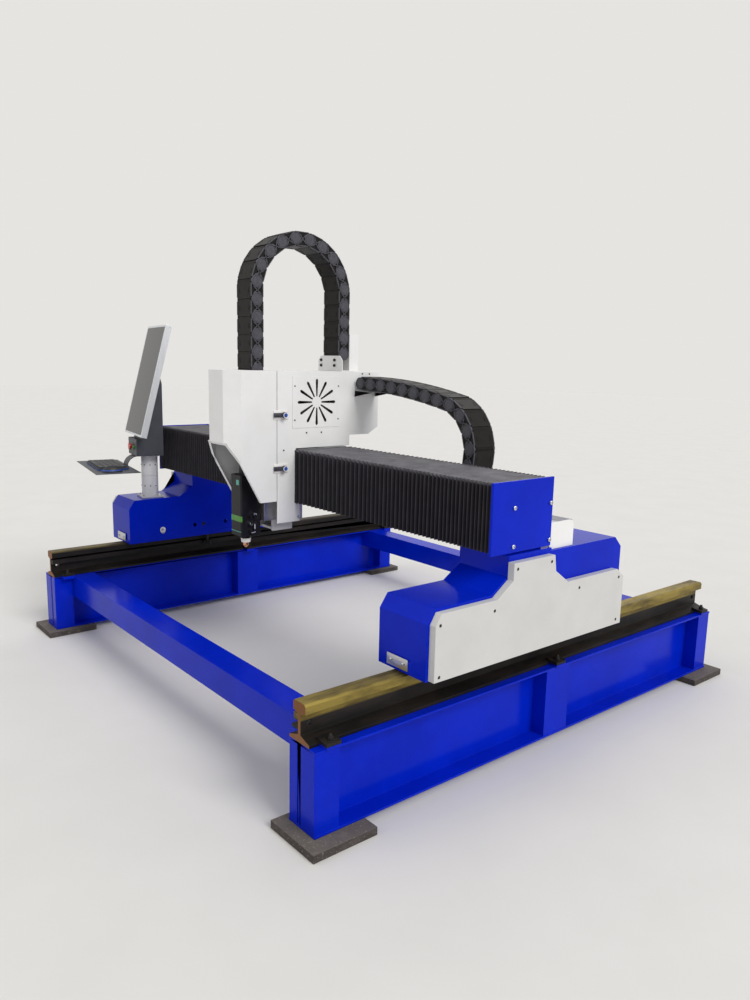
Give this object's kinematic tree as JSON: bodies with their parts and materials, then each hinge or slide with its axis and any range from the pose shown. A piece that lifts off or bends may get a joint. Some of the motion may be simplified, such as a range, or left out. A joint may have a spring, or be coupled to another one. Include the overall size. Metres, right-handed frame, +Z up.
{
  "type": "laser cutting machine",
  "caption": "Gantry laser cutting machine that rolls along two floor rails, with a covered cutting head carriage, bellows, energy chains and a swivelling operator console.",
  "frame": {"origin": "on the floor under the front right foot plate, below the web of the right hand rail beam", "axes": "+X to the machine's right along the gantry, +Y to the back along the rails, +Z up"},
  "size_m": [2.9931, 2.56, 2.1284],
  "materials": {
    "blue_paint": "gloss royal blue enamel",
    "white_powder": "smooth warm white powder coat",
    "foot_slab": "rough dark packing slab",
    "rail_steel": "black rolled rail with a yellow passivated head",
    "machined_steel": "ground and turned steel",
    "motor_black": "satin black enamel",
    "black_anodised": "black anodised, bead blasted",
    "bellows_cloth": "coated folded cloth, matt dark grey",
    "chain_plastic": "moulded black nylon",
    "aluminium": "milled aluminium",
    "console_grey": "dark grey textured powder coat",
    "column_silver": "silver grey gloss enamel",
    "screen_glass": "dark glossy display window",
    "ceramic_white": "white glazed ceramic",
    "copper": "turned copper",
    "stop_red": "red moulded plastic",
    "button_green": "green moulded plastic",
    "key_black": "black moulded plastic",
    "latch_black": "black moulded nylon"
  },
  "bodies": {
    "bed": {"beam_left": "blue_paint", "beam_right": "blue_paint", "tie_front": "blue_paint", "tie_rear": "blue_paint", "foot_plate_front_left": "foot_slab", "foot_plate_front_right": "foot_slab", "foot_plate_rear_left": "foot_slab", "foot_plate_rear_right": "foot_slab", "rail_left": "rail_steel", "rail_right": "rail_steel"},
    "gantry": {"truck_left": "blue_paint", "truck_right": "blue_paint", "truck_cover_left": "white_powder", "truck_cover_right": "white_powder", "y_motor_left": "motor_black", "y_motor_right": "motor_black", "gantry_beam": "blue_paint", "end_plate_left": "blue_paint", "end_plate_right": "blue_paint", "chain_tray": "white_powder", "console_base": "column_silver", "bellows_left": "bellows_cloth", "bellows_right": "bellows_cloth", "x_chain": "chain_plastic"},
    "wheel_front_left": {"wheel_front_left": "machined_steel"},
    "wheel_front_right": {"wheel_front_right": "machined_steel"},
    "wheel_rear_left": {"wheel_rear_left": "machined_steel"},
    "wheel_rear_right": {"wheel_rear_right": "machined_steel"},
    "y_pinion_left": {"y_pinion_left": "machined_steel"},
    "y_pinion_right": {"y_pinion_right": "machined_steel"},
    "carriage": {"carriage_plate": "aluminium", "x_motor": "motor_black", "z_base": "aluminium", "z_motor": "motor_black", "rear_shell": "white_powder", "front_cover": "white_powder", "vent_plate": "white_powder", "z_chain": "chain_plastic", "z_chain_bracket": "white_powder", "x_chain_shelf": "white_powder"},
    "x_pinion": {"x_pinion": "machined_steel"},
    "z_screw": {"z_screw": "machined_steel"},
    "vent_fan": {"vent_fan": "key_black"},
    "latch_upper_left": {"latch_upper_left": "latch_black"},
    "latch_upper_right": {"latch_upper_right": "latch_black"},
    "latch_lower_left": {"latch_lower_left": "latch_black"},
    "latch_lower_right": {"latch_lower_right": "latch_black"},
    "z_slide": {"z_slide": "aluminium", "laser_head": "black_anodised", "ceramic_ring": "ceramic_white", "nozzle": "copper"},
    "console": {"console_column": "column_silver", "console_box": "console_grey", "monitor_frame": "aluminium", "screen": "screen_glass", "keyboard_tray": "console_grey", "keyboard": "key_black", "mouse": "key_black"},
    "emergency_stop": {"emergency_stop": "stop_red"},
    "start_button": {"start_button": "button_green"}
  },
  "joints": [
    {"name": "gantry_travel", "type": "slide", "parent": "bed", "child": "gantry", "axis": [0, 1, 0], "range_m": [-0.4, 0.9]},
    {"name": "wheel_front_left_spin", "type": "hinge", "parent": "gantry", "child": "wheel_front_left", "pos_m": [-2.5, 0.544, 0.5309], "axis": [1, 0, 0], "range_deg": [-900, 400]},
    {"name": "wheel_front_right_spin", "type": "hinge", "parent": "gantry", "child": "wheel_front_right", "pos_m": [0, 0.544, 0.5309], "axis": [1, 0, 0], "range_deg": [-900, 400]},
    {"name": "wheel_rear_left_spin", "type": "hinge", "parent": "gantry", "child": "wheel_rear_left", "pos_m": [-2.5, 1.246, 0.5309], "axis": [1, 0, 0], "range_deg": [-900, 400]},
    {"name": "wheel_rear_right_spin", "type": "hinge", "parent": "gantry", "child": "wheel_rear_right", "pos_m": [0, 1.246, 0.5309], "axis": [1, 0, 0], "range_deg": [-900, 400]},
    {"name": "y_pinion_right_spin", "type": "hinge", "parent": "gantry", "child": "y_pinion_right", "pos_m": [-0.0733, 0.86, 0.413], "axis": [0, 0, 1], "range_deg": [-2900, 1300]},
    {"name": "y_pinion_left_spin", "type": "hinge", "parent": "gantry", "child": "y_pinion_left", "pos_m": [-2.4267, 0.86, 0.413], "axis": [0, 0, 1], "range_deg": [-1300, 2900]},
    {"name": "carriage_travel", "type": "slide", "parent": "gantry", "child": "carriage", "axis": [1, 0, 0], "range_m": [-0.65, 0.7], "deforming": ["bellows_left", "bellows_right", "x_chain"]},
    {"name": "x_pinion_spin", "type": "hinge", "parent": "carriage", "child": "x_pinion", "pos_m": [-1.25, 0.80375, 1.1], "axis": [0, 0, 1], "range_deg": [-2300, 2300]},
    {"name": "z_travel", "type": "slide", "parent": "carriage", "child": "z_slide", "axis": [0, 0, 1], "range_m": [-0.15, 0.1], "deforming": ["z_chain"]},
    {"name": "z_screw_spin", "type": "hinge", "parent": "carriage", "child": "z_screw", "pos_m": [-1.25, 0.6174, 1.07], "axis": [0, 0, 1], "range_deg": [-1850, 2750]},
    {"name": "vent_fan_spin", "type": "hinge", "parent": "carriage", "child": "vent_fan", "pos_m": [-1.16, 0.766, 1.354], "axis": [1, 0, 0], "continuous": true},
    {"name": "latch_upper_left_turn", "type": "hinge", "parent": "carriage", "child": "latch_upper_left", "pos_m": [-1.39, 0.575, 1.298], "axis": [1, 0, 0], "range_deg": [0, 90]},
    {"name": "latch_upper_right_turn", "type": "hinge", "parent": "carriage", "child": "latch_upper_right", "pos_m": [-1.11, 0.575, 1.298], "axis": [1, 0, 0], "range_deg": [0, 90]},
    {"name": "latch_lower_left_turn", "type": "hinge", "parent": "carriage", "child": "latch_lower_left", "pos_m": [-1.39, 0.575, 1.051], "axis": [1, 0, 0], "range_deg": [0, 90]},
    {"name": "latch_lower_right_turn", "type": "hinge", "parent": "carriage", "child": "latch_lower_right", "pos_m": [-1.11, 0.575, 1.051], "axis": [1, 0, 0], "range_deg": [0, 90]},
    {"name": "console_swivel", "type": "hinge", "parent": "gantry", "child": "console", "pos_m": [-2.47, 0.512, 0.9], "axis": [0, 0, 1], "range_deg": [-40, 25]},
    {"name": "emergency_stop_push", "type": "slide", "parent": "console", "child": "emergency_stop", "axis": [0.1736, 0.9848, 0], "range_m": [0, 0.005], "stiffness_N_per_m": 900},
    {"name": "start_button_push", "type": "slide", "parent": "console", "child": "start_button", "axis": [0.1736, 0.9848, 0], "range_m": [0, 0.003], "stiffness_N_per_m": 600}
  ],
  "couplings": [
    {"joint": "wheel_front_left_spin", "follows": "gantry_travel", "rad_per_m": -16.667},
    {"joint": "wheel_front_right_spin", "follows": "gantry_travel", "rad_per_m": -16.667},
    {"joint": "wheel_rear_left_spin", "follows": "gantry_travel", "rad_per_m": -16.667},
    {"joint": "wheel_rear_right_spin", "follows": "gantry_travel", "rad_per_m": -16.667},
    {"joint": "y_pinion_right_spin", "follows": "gantry_travel", "rad_per_m": -55.556},
    {"joint": "y_pinion_left_spin", "follows": "gantry_travel", "rad_per_m": 55.556},
    {"joint": "x_pinion_spin", "follows": "carriage_travel", "rad_per_m": -55.556},
    {"joint": "z_screw_spin", "follows": "z_travel", "rad_per_m": -314.16}
  ]
}
